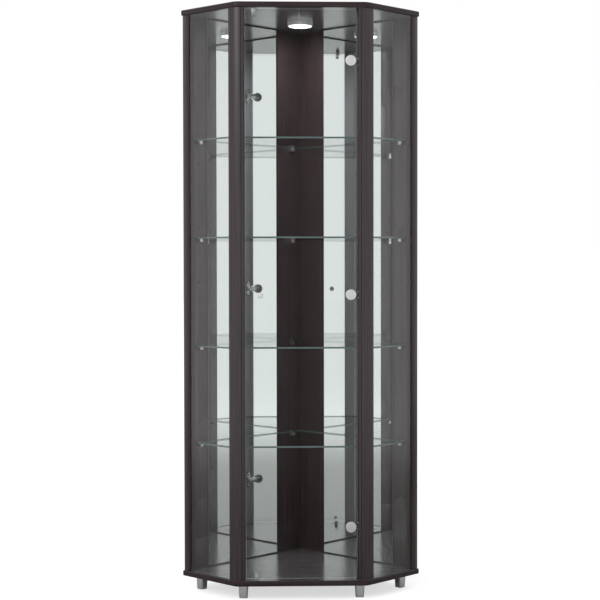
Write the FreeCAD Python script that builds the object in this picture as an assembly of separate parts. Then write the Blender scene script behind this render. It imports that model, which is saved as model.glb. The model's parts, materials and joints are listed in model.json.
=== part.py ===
import FreeCAD
import Part
import math
import os

# Corner curio cabinet: a five-sided glazed case that stands in a room corner.
#
# Millimetres. While a piece is being made, X runs to the right, Y runs from the
# panels' front edge back to the room corner, and Z runs up from the floor.
# Two more directions follow each room wall: "along" is measured on the wall
# from the room corner, and "off" is measured from the wall into the room.
# Every piece is moved to the final origin when it is written out.

# ---- case -------------------------------------------------------------------
FOOT_HEIGHT = 40.0
PANEL_T = 16.0
INNER_HEIGHT = 1636.0
WALL_EDGE = 498.0            # panel edge on each room wall
RETURN_EDGE = 230.0          # panel side edge, square to the wall
PANEL_FRONT_ROUND = 28.0
PANEL_SIDE_ROUND = 4.5
PANEL_ARRIS = 3.5

# ---- back boards and mirrors ------------------------------------------------
BOARD_T = 12.0
BOARD_INSET = 5.0            # from the room wall
POST_SETBACK = 4.0           # posts stand back from the panels' open edges
MIRROR_T = 4.0
LEFT_MIRROR_START = 118.0    # along the wall
RIGHT_MIRROR_START = 126.0   # its board butts on the left one, so it starts further out
MIRROR_POST_GAP = 65.0       # from the wall post
MIRROR_END_GAP = 3.0

# ---- wall posts -------------------------------------------------------------
WALL_POST_WIDTH = 18.0       # along the wall
WALL_POST_DEPTH = 16.0       # off the back board

# ---- front posts ------------------------------------------------------------
FRONT_POST_T = 22.0
FRONT_POST_FACE = 24.25      # front face, from where the two faces would meet
FRONT_POST_LEG = 28.0        # side leg, from the same place
FRONT_POST_ROUND = 40.0
POST_LINE_WIDTH = 1.4        # the thin upright lines beside the rounded corner
POST_LINE_DEPTH = 1.2

# ---- side glass -------------------------------------------------------------
SIDE_GLASS_T = 4.0
SIDE_GLASS_INSET = 2.0       # behind the posts' outer face
GLAZING_BITE = 6.0           # how far the glass enters each post
GLAZING_PLAY = 0.2
SIDE_GLASS_TOP_GAP = 1.0

# ---- shelves and their supports ---------------------------------------------
SHELF_T = 5.0
SHELF_WALL_GAP = 2.0         # from the mirror's face
SHELF_POST_GAP = 14.0        # from the wall post
SHELF_FRONT_GAP = 26.6       # behind the front posts
SHELF_ROUND = 5.0
HOLE_PITCH = 32.0
LOWEST_PIN_HEIGHT = 428.0
SHELF_STEPS = (0, 9, 19, 28)             # in hole pitches above the lowest pin
SPARE_HOLE_STEPS = (-5, 2, 15, 20, 26, 33)
PIN_HOLE_RADIUS = 2.5
PIN_HOLE_DEPTH = 8.0
OUTER_PIN_GAP = 30.0         # from the wall post
CORNER_PIN_GAP = 60.0        # from the left mirror's edge
PIN_WIDTH = 11.0
PIN_HEIGHT = 14.0
PIN_BACK_T = 5.5
PIN_LEDGE = 9.0
PIN_ABOVE_STUD = 2.0         # the ledge's top lies this far above the stud's centre

# ---- door -------------------------------------------------------------------
DOOR_T = 5.0
DOOR_FRONT = 5.0             # front face, behind the panels' front edge
DOOR_SIDE_GAP = 4.6
DOOR_TOP_GAP = 4.0
DOOR_BOTTOM_GAP = 6.0
DOOR_CORNER_ROUND = 3.0

# ---- hinges -----------------------------------------------------------------
HINGE_TOP_GAP = 146.0        # top hinge from the glass's top edge
HINGE_BOTTOM_GAP = 147.0     # bottom hinge from the glass's bottom edge
CUP_EDGE = 17.5              # cup centre from the glass edge
GLASS_HOLE_RADIUS = 13.0
CUP_PLAY = 0.1
CUP_FLOOR = 1.5
CUP_WALL = 1.9
CUP_FLANGE_RADIUS = 14.0
CUP_FLANGE_T = 1.5
CAP_RADIUS = 15.5
CAP_T = 3.0
CAP_BEVEL = 1.8
PIVOT_EDGE = 11.0            # hinge pin from the glass edge
PIVOT_BACK = 5.0             # hinge pin behind the glass
PIVOT_RADIUS = 1.6
PIVOT_PLAY = 0.05
EYE_RADIUS = 3.0
EYE_HEIGHT = 16.0
EAR_GAP = 0.5
EAR_T = 2.5
KNUCKLE_LENGTH = 10.2
KNUCKLE_DEPTH = 7.0
KNUCKLE_HEIGHT = 15.0
KNUCKLE_GAP = 0.8
ARM_T = 2.5
ARM_STANDOFF = 8.0           # arm's middle plane above the post's back face
HINGE_PLATE_ALONG = 13.6     # plate centre from the post's inner edge
HINGE_PLATE_WIDTH = 14.0
HINGE_PLATE_HEIGHT = 50.0
HINGE_PLATE_T = 2.5
HINGE_PLATE_BEVEL = 4.0
HUMP_WIDTH = 11.0
HUMP_HEIGHT = 15.0
HINGE_SCREW_RADIUS = 1.75
HINGE_SCREW_LENGTH = 13.0
HINGE_SCREW_SPACING = 36.0
SCREW_HEAD_RADIUS = 3.4
SCREW_HEAD_T = 1.2

# ---- knob -------------------------------------------------------------------
KNOB_EDGE = 42.0             # knob centre from the glass edge
KNOB_HEIGHT = 874.5
KNOB_RADIUS = 8.0
KNOB_HEAD_LENGTH = 12.0
KNOB_LENGTH = 22.0
KNOB_NECK_RADIUS = 4.0
KNOB_BASE_RADIUS = 6.0
KNOB_BASE_T = 1.5
KNOB_BEVEL = 2.0
KNOB_SCREW_RADIUS = 2.0
KNOB_SCREW_BITE = 9.0
KNOB_WASHER_RADIUS = 6.0
KNOB_WASHER_T = 1.0
GLASS_HOLE_PLAY = 0.6

# ---- magnetic catches -------------------------------------------------------
CATCH_TOP_EDGE = 23.0        # from the glass edge
CATCH_BOTTOM_EDGE = 30.0
CATCH_WIDTH = 10.0
CATCH_HEIGHT = 13.0
CATCH_LENGTH = 60.0
CATCH_BEVEL = 1.2
MAGNET_WIDTH = 7.0
MAGNET_HEIGHT = 8.0
MAGNET_LENGTH = 14.0
MAGNET_PROUD = 0.9
MAGNET_GAP = 0.3             # between the shut door's clip and the magnet
CATCH_SCREW_RADIUS = 1.5
CATCH_SCREW_HEAD_RADIUS = 2.8
CATCH_SCREW_BITE = 10.0
CATCH_SCREW_SHARES = (0.25, 0.8)         # along the housing behind the magnet
CLIP_WIDTH = 10.0
CLIP_LEG = 12.0
CLIP_T = 0.8

# ---- lamp -------------------------------------------------------------------
LAMP_Y = 274.0
LENS_RADIUS = 34.0
LENS_T = 2.5
LENS_PROUD = 1.2             # below the housing's rim
LAMP_BEZEL = 4.0
LAMP_BEVEL = 2.0
LAMP_HEIGHT = 12.0
LAMP_WALL = 2.0
LAMP_BOARD_T = 1.6
LAMP_BOARD_GAP = 3.0
LAMP_SCREW_OFFSET = 22.0
LAMP_SCREW_RADIUS = 1.5
LAMP_SCREW_HEAD_RADIUS = 2.8
LAMP_SCREW_LENGTH = 12.0
LAMP_WIRE_HOLE_RADIUS = 4.0

# ---- feet -------------------------------------------------------------------
FOOT_TOP_SIZE = 28.0
FOOT_BOTTOM_SIZE = 24.0
FOOT_ROUND = 7.0
FRONT_FOOT_INSET = 21.5      # from the panel's front corners
FRONT_FOOT_Y = 40.0
SIDE_FOOT_INSET = 41.0       # from the panel's wall edge and side edge
BACK_FOOT_INSET = 62.0       # from both wall edges
GLIDE_RADIUS = 8.0
GLIDE_T = 1.0
FOOT_BOLT_RADIUS = 4.0
FOOT_BOLT_IN_FOOT = 24.0
FOOT_BOLT_IN_PANEL = 12.0

# ---- screws that hold the case together -------------------------------------
SMALL_SIDES = 6              # flats that stand for a small round piece or hole
CASE_SCREW_RADIUS = 2.2
CASE_SCREW_LENGTH = 40.0
CASE_SCREW_HEAD_RADIUS = 4.0
CASE_SCREW_HEAD_T = 2.5
BOARD_SCREW_ALONG = 250.0
FRONT_POST_SCREW_INSET = 14.4            # from the door opening
FRONT_POST_SCREW_Y = 17.0
WALL_POST_SCREW_INSET = 6.0
BACK_SCREW_LENGTH = 20.0
BACK_SCREW_RADIUS = 1.75
BACK_SCREW_HEAD_RADIUS = 3.5
BACK_SCREW_HEAD_T = 1.0
BACK_SCREW_END = 90.0        # back screws from the board's ends

# ---- worked out -------------------------------------------------------------
EXACT = 1e-6                 # two lengths this close are the same
NEAR = 1.0                   # a corner this close to a line belongs to it
ROOT2 = math.sqrt(2.0)
HALF_BEND = math.radians(45.0) / 2.0     # the front posts turn by 45 degrees
LEFT = -1
RIGHT = 1
SIDES = {"left": LEFT, "right": RIGHT}
UP = FreeCAD.Vector(0, 0, 1)
BACK = FreeCAD.Vector(0, 1, 0)

CORNER_Y = (WALL_EDGE + RETURN_EDGE) / ROOT2
FLOOR_Z = FOOT_HEIGHT + PANEL_T
CEILING_Z = FLOOR_Z + INNER_HEIGHT
TOP_Z = CEILING_Z + PANEL_T
BOARD_FACE = BOARD_INSET + BOARD_T
MIRROR_FACE = BOARD_FACE + MIRROR_T
POST_OUTER = WALL_EDGE - POST_SETBACK
WALL_POST_INNER = POST_OUTER - WALL_POST_WIDTH
WALL_POST_FACE = BOARD_FACE + WALL_POST_DEPTH
MIRROR_START = {LEFT: LEFT_MIRROR_START, RIGHT: RIGHT_MIRROR_START}
OUTER_PIN_ALONG = WALL_POST_INNER - OUTER_PIN_GAP
CORNER_PIN_ALONG = LEFT_MIRROR_START - CORNER_PIN_GAP
SIDE_GLASS_OUTER = POST_OUTER - SIDE_GLASS_INSET
SIDE_GLASS_INNER = SIDE_GLASS_OUTER - SIDE_GLASS_T

POST_FRONT = POST_SETBACK
POST_BACK = POST_FRONT + FRONT_POST_T
FRONT_POST_CORNER_X = ROOT2 * POST_OUTER - CORNER_Y + POST_FRONT
OPENING_X = FRONT_POST_CORNER_X - FRONT_POST_FACE
FRONT_POST_SCREW_X = OPENING_X + FRONT_POST_SCREW_INSET
FRONT_FOOT_X = (WALL_EDGE - RETURN_EDGE) / ROOT2 - FRONT_FOOT_INSET
ROUND_TANGENT = FRONT_POST_ROUND * math.tan(HALF_BEND)

DOOR_X = OPENING_X - DOOR_SIDE_GAP
DOOR_BACK = DOOR_FRONT + DOOR_T
DOOR_BOTTOM = FLOOR_Z + DOOR_BOTTOM_GAP
DOOR_TOP = CEILING_Z - DOOR_TOP_GAP
LOWEST_HINGE = DOOR_BOTTOM + HINGE_BOTTOM_GAP
HIGHEST_HINGE = DOOR_TOP - HINGE_TOP_GAP
HINGES = {"bottom": LOWEST_HINGE,
          "middle": (LOWEST_HINGE + HIGHEST_HINGE) / 2.0,
          "top": HIGHEST_HINGE}
CUP_X = DOOR_X - CUP_EDGE
CUP_RADIUS = GLASS_HOLE_RADIUS - CUP_PLAY
PIVOT_X = DOOR_X - PIVOT_EDGE
PIVOT_Y = DOOR_BACK + PIVOT_BACK
KNOB_X = KNOB_EDGE - DOOR_X
KNOB_FRONT = DOOR_FRONT - KNOB_LENGTH
ORIGIN_Y = (KNOB_FRONT + CORNER_Y) / 2.0


# ---- helpers ----------------------------------------------------------------
def point(x, y, z=0.0):
    return FreeCAD.Vector(x, y, z)


def wall_point(side, along, off, z=0.0):
    """The place 'along' a room wall from the room corner and 'off' it."""
    return point(side * (along - off) / ROOT2, CORNER_Y - (along + off) / ROOT2, z)


def off_wall(side):
    """Unit direction from a room wall into the case."""
    return point(-side / ROOT2, -1.0 / ROOT2)


def prism(corners, low, high):
    """An upright solid over a flat outline."""
    ring = [point(c.x, c.y, low) for c in corners]
    face = Part.Face(Part.makePolygon(ring + ring[:1]))
    return face.extrude(UP * (high - low))


def wall_block(side, along, off, heights):
    corners = [wall_point(side, along[0], off[0]), wall_point(side, along[1], off[0]),
               wall_point(side, along[1], off[1]), wall_point(side, along[0], off[1])]
    return prism(corners, *heights)


def block(x, y, z):
    """A box between two values on each axis."""
    size = (x[1] - x[0], y[1] - y[0], z[1] - z[0])
    return Part.makeBox(*size, point(x[0], y[0], z[0]))


def rod(start, direction, radius, length):
    return Part.makeCylinder(radius, length, start, direction)


def facet_rod(start, direction, radius, length):
    """A rod with flat sides, for the small pieces and holes that repeat most."""
    turn = FreeCAD.Rotation(UP, direction)
    steps = [2.0 * math.pi * i / SMALL_SIDES for i in range(SMALL_SIDES)]
    ring = [start + turn.multVec(point(radius * math.cos(a), radius * math.sin(a))) for a in steps]
    return Part.Face(Part.makePolygon(ring + ring[:1])).extrude(direction * length)


def screw(start, direction, head, shank):
    """A screw whose head and shank, each a radius and a length, start together."""
    return facet_rod(start, direction, *head).fuse(facet_rod(start, direction, *shank))


def group(solids):
    return Part.makeCompound(solids)


def cut_all(shape, tools):
    return shape.cut(group(tools)) if tools else shape


def mirrored(shape):
    return shape.mirror(point(0, 0), point(1, 0))


def edges_along(shape, direction):
    """Straight edges that run this way."""
    return [e for e in shape.Edges
            if e.tangentAt(e.FirstParameter).cross(direction).Length < EXACT]


def corner_edges(shape, y):
    """Upright edges that stand at one depth."""
    return [e for e in edges_along(shape, UP) if abs(e.Vertexes[0].Point.y - y) < NEAR]


def level_edges(shape, height):
    """Edges that lie wholly at one height."""
    return [e for e in shape.Edges
            if abs(e.BoundBox.ZMin - height) < EXACT and abs(e.BoundBox.ZMax - height) < EXACT]


def edges_at_depth(shape, y):
    """Edges that lie wholly at one depth."""
    return [e for e in shape.Edges
            if abs(e.BoundBox.YMin - y) < EXACT and abs(e.BoundBox.YMax - y) < EXACT]


# ---- top and bottom panels --------------------------------------------------
def panel_outline():
    return [wall_point(LEFT, 0, 0),
            wall_point(LEFT, WALL_EDGE, 0), wall_point(LEFT, WALL_EDGE, RETURN_EDGE),
            wall_point(RIGHT, WALL_EDGE, RETURN_EDGE), wall_point(RIGHT, WALL_EDGE, 0)]


def plain_panel(low):
    """Five-sided board with rounded corners and rolled arrises."""
    shape = prism(panel_outline(), low, low + PANEL_T)
    shape = shape.makeFillet(PANEL_FRONT_ROUND, corner_edges(shape, 0.0))
    sides = corner_edges(shape, wall_point(RIGHT, WALL_EDGE, 0).y)
    shape = shape.makeFillet(PANEL_SIDE_ROUND, sides)
    rims = level_edges(shape, low) + level_edges(shape, low + PANEL_T)
    return shape.makeFillet(PANEL_ARRIS, rims)


def case_screw_places():
    """Plan positions of the screws that hold each panel to the uprights."""
    places = []
    for side in SIDES.values():
        places.append(wall_point(side, BOARD_SCREW_ALONG, BOARD_INSET + BOARD_T / 2.0))
        inset = WALL_POST_SCREW_INSET
        places.append(wall_point(side, WALL_POST_INNER + inset, BOARD_FACE + inset))
        places.append(point(side * FRONT_POST_SCREW_X, FRONT_POST_SCREW_Y))
    return places


def case_screws(face, inward):
    """Screws let in flush with a panel's outer face."""
    return [screw(point(p.x, p.y, face), UP * inward, (CASE_SCREW_HEAD_RADIUS, CASE_SCREW_HEAD_T),
                  (CASE_SCREW_RADIUS, CASE_SCREW_LENGTH)) for p in case_screw_places()]


TOP_SCREWS = case_screws(TOP_Z, -1)
BOTTOM_SCREWS = case_screws(FOOT_HEIGHT, 1)
CASE_SCREWS = TOP_SCREWS + BOTTOM_SCREWS


def top_panel():
    wire_hole = rod(point(0, LAMP_Y, CEILING_Z), UP, LAMP_WIRE_HOLE_RADIUS, PANEL_T)
    tools = TOP_SCREWS + lamp_screws() + catch_screws("top") + [wire_hole]
    return cut_all(plain_panel(CEILING_Z), tools)


def bottom_panel():
    tools = BOTTOM_SCREWS + foot_bolts() + catch_screws("bottom")
    return cut_all(plain_panel(FOOT_HEIGHT), tools)


# ---- back boards, wall posts and mirrors ------------------------------------
def board_start(side):
    """The left board runs into the room corner and the right one butts on it."""
    return BOARD_INSET if side == LEFT else BOARD_FACE


def back_screw(start, direction):
    return screw(start, direction, (BACK_SCREW_HEAD_RADIUS, BACK_SCREW_HEAD_T),
                 (BACK_SCREW_RADIUS, BACK_SCREW_LENGTH))


def back_screw_heights():
    return (FLOOR_Z + BACK_SCREW_END, CEILING_Z - BACK_SCREW_END)


def back_screws():
    """Screws from behind into both wall posts and into the butted board."""
    screws = []
    post_middle = (WALL_POST_INNER + SIDE_GLASS_INNER) / 2.0
    butt_middle = BOARD_INSET + BOARD_T / 2.0
    for z in back_screw_heights():
        for side in SIDES.values():
            screws.append(back_screw(wall_point(side, post_middle, BOARD_INSET, z), off_wall(side)))
        screws.append(back_screw(wall_point(LEFT, butt_middle, BOARD_INSET, z), off_wall(LEFT)))
    return screws


BACK_SCREWS = back_screws()


def pin_sites(side):
    """Distances along a wall where that board is drilled for shelf pins."""
    return (OUTER_PIN_ALONG, CORNER_PIN_ALONG) if side == LEFT else (OUTER_PIN_ALONG,)


def pin_height(step):
    return LOWEST_PIN_HEIGHT + step * HOLE_PITCH


def pin_stud(side, along, step):
    """The stud of a shelf pin, and the blind hole for it in the board."""
    start = wall_point(side, along, BOARD_FACE, pin_height(step))
    return facet_rod(start, off_wall(side) * -1, PIN_HOLE_RADIUS, PIN_HOLE_DEPTH)


def pin_holes(side):
    """A hole for every pin, and the spare ones in the outer row."""
    used = [pin_stud(side, along, step) for along in pin_sites(side) for step in SHELF_STEPS]
    return used + [pin_stud(side, OUTER_PIN_ALONG, step) for step in SPARE_HOLE_STEPS]


def back_board(side):
    board = wall_block(side, (board_start(side), POST_OUTER), (BOARD_INSET, BOARD_FACE),
                       (FLOOR_Z, CEILING_Z))
    return cut_all(board, pin_holes(side) + CASE_SCREWS + BACK_SCREWS)


def mirror_glass(side):
    return wall_block(side, (MIRROR_START[side], WALL_POST_INNER - MIRROR_POST_GAP),
                      (BOARD_FACE, MIRROR_FACE),
                      (FLOOR_Z + MIRROR_END_GAP, CEILING_Z - MIRROR_END_GAP))


def glazing_groove(side, off):
    """The room that a side glass and its play take up in the posts."""
    along = (SIDE_GLASS_INNER - GLAZING_PLAY, SIDE_GLASS_OUTER + GLAZING_PLAY)
    return wall_block(side, along, off, (FLOOR_Z, CEILING_Z))


def wall_post(side):
    post = wall_block(side, (WALL_POST_INNER, POST_OUTER), (BOARD_FACE, WALL_POST_FACE),
                      (FLOOR_Z, CEILING_Z))
    groove = glazing_groove(side, (WALL_POST_FACE - GLAZING_BITE - GLAZING_PLAY, WALL_POST_FACE))
    return cut_all(post, [groove] + CASE_SCREWS + BACK_SCREWS)


# ---- front posts and side glass ---------------------------------------------
SIDE_LEG = point(1.0 / ROOT2, 1.0 / ROOT2)       # right post's side leg, outwards
LEG_INWARD = point(-1.0 / ROOT2, 1.0 / ROOT2)    # square to it, into the case
POST_CORNER = point(FRONT_POST_CORNER_X, POST_FRONT)
LEG_END = POST_CORNER + SIDE_LEG * FRONT_POST_LEG
LEG_HEEL = LEG_END + LEG_INWARD * FRONT_POST_T
POST_INNER_BACK = point(OPENING_X, POST_BACK)
ROUND_START = POST_CORNER - point(ROUND_TANGENT, 0)
ROUND_END = POST_CORNER + SIDE_LEG * ROUND_TANGENT
BACK_FACE = (LEG_HEEL - POST_INNER_BACK).normalize()
BACK_NORMAL = point(-BACK_FACE.y, BACK_FACE.x)
LEG_END_OFF = RETURN_EDGE - (LEG_END - wall_point(RIGHT, WALL_EDGE, RETURN_EDGE)).dot(SIDE_LEG)


def round_middle():
    """The point half way round the post's rounded corner."""
    centre = ROUND_START + point(0, FRONT_POST_ROUND)
    return centre + point(math.sin(HALF_BEND), -math.cos(HALF_BEND)) * FRONT_POST_ROUND


def post_outline():
    inner_front = point(OPENING_X, POST_FRONT)
    lines = [(inner_front, ROUND_START), (ROUND_END, LEG_END), (LEG_END, LEG_HEEL),
             (LEG_HEEL, POST_INNER_BACK), (POST_INNER_BACK, inner_front)]
    edges = [Part.makeLine(*ends) for ends in lines]
    edges.append(Part.Arc(ROUND_START, round_middle(), ROUND_END).toShape())
    return Part.Wire(Part.__sortEdges__(edges))


def post_line(place, surface, inward):
    """A thin V cut along the post's height."""
    half = surface * (POST_LINE_WIDTH / 2.0)
    return prism([place - half, place + inward * POST_LINE_DEPTH, place + half],
                 FLOOR_Z, CEILING_Z)


def right_front_post():
    outline = Part.Face(post_outline())
    outline.translate(UP * FLOOR_Z)
    post = outline.extrude(UP * INNER_HEIGHT)
    lines = [post_line(ROUND_START, point(1, 0), BACK),
             post_line(ROUND_END, SIDE_LEG, LEG_INWARD)]
    groove = glazing_groove(RIGHT, (LEG_END_OFF, LEG_END_OFF + GLAZING_BITE + GLAZING_PLAY))
    return cut_all(post, lines + [groove])


def front_post(side):
    post = right_front_post()
    if side == LEFT:
        return cut_all(mirrored(post), CASE_SCREWS)
    return cut_all(post, CASE_SCREWS + hinge_plate_screws())


def side_glass(side):
    off = (WALL_POST_FACE - GLAZING_BITE, LEG_END_OFF + GLAZING_BITE)
    return wall_block(side, (SIDE_GLASS_INNER, SIDE_GLASS_OUTER), off,
                      (FLOOR_Z, CEILING_Z - SIDE_GLASS_TOP_GAP))


# ---- shelves ----------------------------------------------------------------
def shelf(step):
    low = pin_height(step) + PIN_ABOVE_STUD
    off = MIRROR_FACE + SHELF_WALL_GAP
    along = WALL_POST_INNER - SHELF_POST_GAP
    front = LEG_HEEL.y + SHELF_FRONT_GAP
    front_x = front - CORNER_Y + ROOT2 * along
    outline = [wall_point(LEFT, off, off), wall_point(LEFT, along, off), point(-front_x, front),
               point(front_x, front), wall_point(RIGHT, along, off)]
    plate = prism(outline, low, low + SHELF_T)
    return plate.makeFillet(SHELF_ROUND, edges_along(plate, UP))


def shelf_pin(side, along, step):
    """An L-shaped support on a stud, with its ledge under the glass."""
    top = pin_height(step) + PIN_ABOVE_STUD
    across = (along - PIN_WIDTH / 2.0, along + PIN_WIDTH / 2.0)
    back = wall_block(side, across, (BOARD_FACE, BOARD_FACE + PIN_BACK_T),
                      (top + SHELF_T - PIN_HEIGHT, top + SHELF_T))
    reach = BOARD_FACE + PIN_BACK_T + PIN_LEDGE
    ledge = wall_block(side, across, (BOARD_FACE, reach), (top + SHELF_T - PIN_HEIGHT, top))
    return back.fuse([ledge, pin_stud(side, along, step)]).removeSplitter()


def shelf_pins(step):
    return group([shelf_pin(side, along, step)
                  for side in SIDES.values() for along in pin_sites(side)])


# ---- lamp under the top panel -----------------------------------------------
def lamp_screws():
    screws = []
    seat = CEILING_Z - LAMP_WALL
    for side in SIDES.values():
        start = point(side * LAMP_SCREW_OFFSET, LAMP_Y, seat - SCREW_HEAD_T)
        screws.append(screw(start, UP, (LAMP_SCREW_HEAD_RADIUS, SCREW_HEAD_T),
                            (LAMP_SCREW_RADIUS, LAMP_SCREW_LENGTH)))
    return screws


def lamp_housing():
    """A shallow cup, open downwards, with a seat for the lens."""
    centre = point(0, LAMP_Y, CEILING_Z - LAMP_HEIGHT)
    outer = rod(centre, UP, LENS_RADIUS + LAMP_BEZEL, LAMP_HEIGHT)
    outer = outer.makeChamfer(LAMP_BEVEL, level_edges(outer, centre.z))
    seat = rod(centre, UP, LENS_RADIUS, LENS_T)
    room = rod(centre, UP, LENS_RADIUS - LAMP_WALL, LAMP_HEIGHT - LAMP_WALL)
    wire_hole = rod(centre, UP, LAMP_WIRE_HOLE_RADIUS, LAMP_HEIGHT)
    return cut_all(outer, [seat, room, wire_hole] + lamp_screws())


def lamp_lens():
    """A frosted disc, bevelled where it stands out of its seat."""
    low = CEILING_Z - LAMP_HEIGHT - LENS_PROUD
    disc = rod(point(0, LAMP_Y, low), UP, LENS_RADIUS, LENS_T + LENS_PROUD)
    return disc.makeChamfer(LENS_PROUD, level_edges(disc, low))


def lamp_board():
    """The square circuit board behind the lens, its corners held by the housing's wall."""
    top = CEILING_Z - LAMP_WALL - LAMP_BOARD_GAP
    half = (LENS_RADIUS - LAMP_WALL) / ROOT2
    return block((-half, half), (LAMP_Y - half, LAMP_Y + half), (top - LAMP_BOARD_T, top))


# ---- feet -------------------------------------------------------------------
def foot_places():
    """Plan position and turn of each foot."""
    side_along = WALL_EDGE - SIDE_FOOT_INSET
    side = wall_point(RIGHT, side_along, SIDE_FOOT_INSET)
    return {"front_left": (-FRONT_FOOT_X, FRONT_FOOT_Y, 0),
            "front_right": (FRONT_FOOT_X, FRONT_FOOT_Y, 0),
            "side_left": (-side.x, side.y, 45),
            "side_right": (side.x, side.y, 45),
            "back": (0, wall_point(LEFT, BACK_FOOT_INSET, BACK_FOOT_INSET).y, 45)}


def foot(name):
    """A tapered foot with rounded corners, drilled for its bolt."""
    x, y, turn = foot_places()[name]
    low, high = FOOT_BOTTOM_SIZE / 2.0, FOOT_TOP_SIZE / 2.0
    body = Part.makeWedge(-low, GLIDE_T, -low, -high, -high, low, FOOT_HEIGHT, low, high, high)
    body = body.makeFillet(FOOT_ROUND, [e for e in body.Edges if e.BoundBox.YLength > FOOT_ROUND])
    body.rotate(point(0, 0), point(1, 0), 90)
    body.rotate(point(0, 0), UP, turn)
    body.translate(point(x, y))
    return body.cut(foot_bolt(name))


def foot_glide(name):
    x, y, _ = foot_places()[name]
    return facet_rod(point(x, y), UP, GLIDE_RADIUS, GLIDE_T)


def foot_bolt(name):
    x, y, _ = foot_places()[name]
    start = point(x, y, FOOT_HEIGHT - FOOT_BOLT_IN_FOOT)
    return facet_rod(start, UP, FOOT_BOLT_RADIUS, FOOT_BOLT_IN_FOOT + FOOT_BOLT_IN_PANEL)


def foot_bolts():
    return [foot_bolt(name) for name in foot_places()]


def foot_glides():
    return [foot_glide(name) for name in foot_places()]


# ---- hinges: the half on the case -------------------------------------------
def on_back_face(along, above, z=0.0):
    """A place over the right front post's back face."""
    return POST_INNER_BACK + BACK_FACE * along + BACK_NORMAL * above + UP * z


def face_block(along, above, heights):
    corners = [on_back_face(along[0], above[0]), on_back_face(along[1], above[0]),
               on_back_face(along[1], above[1]), on_back_face(along[0], above[1])]
    return prism(corners, *heights)


def hinge_plate_screw(z):
    start = on_back_face(HINGE_PLATE_ALONG, HINGE_PLATE_T + SCREW_HEAD_T, z)
    return screw(start, BACK_NORMAL * -1, (SCREW_HEAD_RADIUS, SCREW_HEAD_T),
                 (HINGE_SCREW_RADIUS, HINGE_SCREW_LENGTH))


def hinge_plate_screws():
    offset = HINGE_SCREW_SPACING / 2.0
    return [hinge_plate_screw(z + shift) for z in HINGES.values() for shift in (-offset, offset)]


def arm_screw(z):
    above = ARM_STANDOFF + ARM_T / 2.0 + SCREW_HEAD_T
    start = on_back_face(HINGE_PLATE_ALONG, above, z)
    return screw(start, BACK_NORMAL * -1, (SCREW_HEAD_RADIUS, SCREW_HEAD_T),
                 (HINGE_SCREW_RADIUS, above - HINGE_PLATE_T))


def arm_screws():
    return [arm_screw(z) for z in HINGES.values()]


def hinge_plate(z):
    """The screwed-on plate, with the hump that the arm rides on."""
    half = HINGE_PLATE_WIDTH / 2.0
    along = (HINGE_PLATE_ALONG - half, HINGE_PLATE_ALONG + half)
    plate = face_block(along, (0, HINGE_PLATE_T),
                       (z - HINGE_PLATE_HEIGHT / 2.0, z + HINGE_PLATE_HEIGHT / 2.0))
    plate = plate.makeChamfer(HINGE_PLATE_BEVEL, edges_along(plate, BACK_NORMAL))
    half = HUMP_WIDTH / 2.0
    hump = face_block((HINGE_PLATE_ALONG - half, HINGE_PLATE_ALONG + half),
                      (HINGE_PLATE_T, ARM_STANDOFF - ARM_T / 2.0),
                      (z - HUMP_HEIGHT / 2.0, z + HUMP_HEIGHT / 2.0))
    return cut_all(plate.fuse(hump), hinge_plate_screws() + arm_screws())


def arm_elbow(gap):
    """Where the arm turns, on a line this far above the post's back face."""
    base = on_back_face(0, gap)
    return base + BACK_FACE * ((PIVOT_X - base.x) / BACK_FACE.x)


def hinge_arm(z):
    """Pressed arm: an eye on the pin, a straight leg and a leg over the plate."""
    low, high = z - EYE_HEIGHT / 2.0, z + EYE_HEIGHT / 2.0
    half = ARM_T / 2.0
    turn = math.tan(math.acos(BACK_FACE.y) / 2.0) * half
    elbow = arm_elbow(ARM_STANDOFF)
    tip = on_back_face(HINGE_PLATE_ALONG + HUMP_WIDTH / 2.0, ARM_STANDOFF)
    start = point(PIVOT_X, PIVOT_Y + EYE_RADIUS - half)
    outline = [start - point(half, 0), start + point(half, 0),
               elbow + point(half, -turn), tip - BACK_NORMAL * half,
               tip + BACK_NORMAL * half, elbow + point(-half, turn)]
    strap = prism(outline, low, high)
    eye = rod(point(PIVOT_X, PIVOT_Y, low), UP, EYE_RADIUS, EYE_HEIGHT)
    bore = rod(point(PIVOT_X, PIVOT_Y, low), UP, PIVOT_RADIUS + PIVOT_PLAY, EYE_HEIGHT)
    return cut_all(eye.fuse(strap), [bore] + arm_screws())


# ---- hinges: the half on the door -------------------------------------------
def glass_hole(z):
    return rod(point(CUP_X, DOOR_FRONT, z), BACK, GLASS_HOLE_RADIUS, DOOR_T)


def hinge_cap(z):
    """The round cover on the outside of the glass."""
    front = DOOR_FRONT - CAP_T
    cap = rod(point(CUP_X, front, z), BACK, CAP_RADIUS, CAP_T)
    return cap.makeChamfer(CAP_BEVEL, edges_at_depth(cap, front))


def hinge_ear(z, way):
    """One of the two ears that hold the pin, above or below the arm's eye."""
    inner = z + way * (EYE_HEIGHT / 2.0 + EAR_GAP)
    low, high = sorted((inner, inner + way * EAR_T))
    tongue = block((PIVOT_X - EYE_RADIUS, PIVOT_X + EYE_RADIUS), (DOOR_BACK, PIVOT_Y), (low, high))
    return tongue.fuse(rod(point(PIVOT_X, PIVOT_Y, low), UP, EYE_RADIUS, EAR_T))


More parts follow.
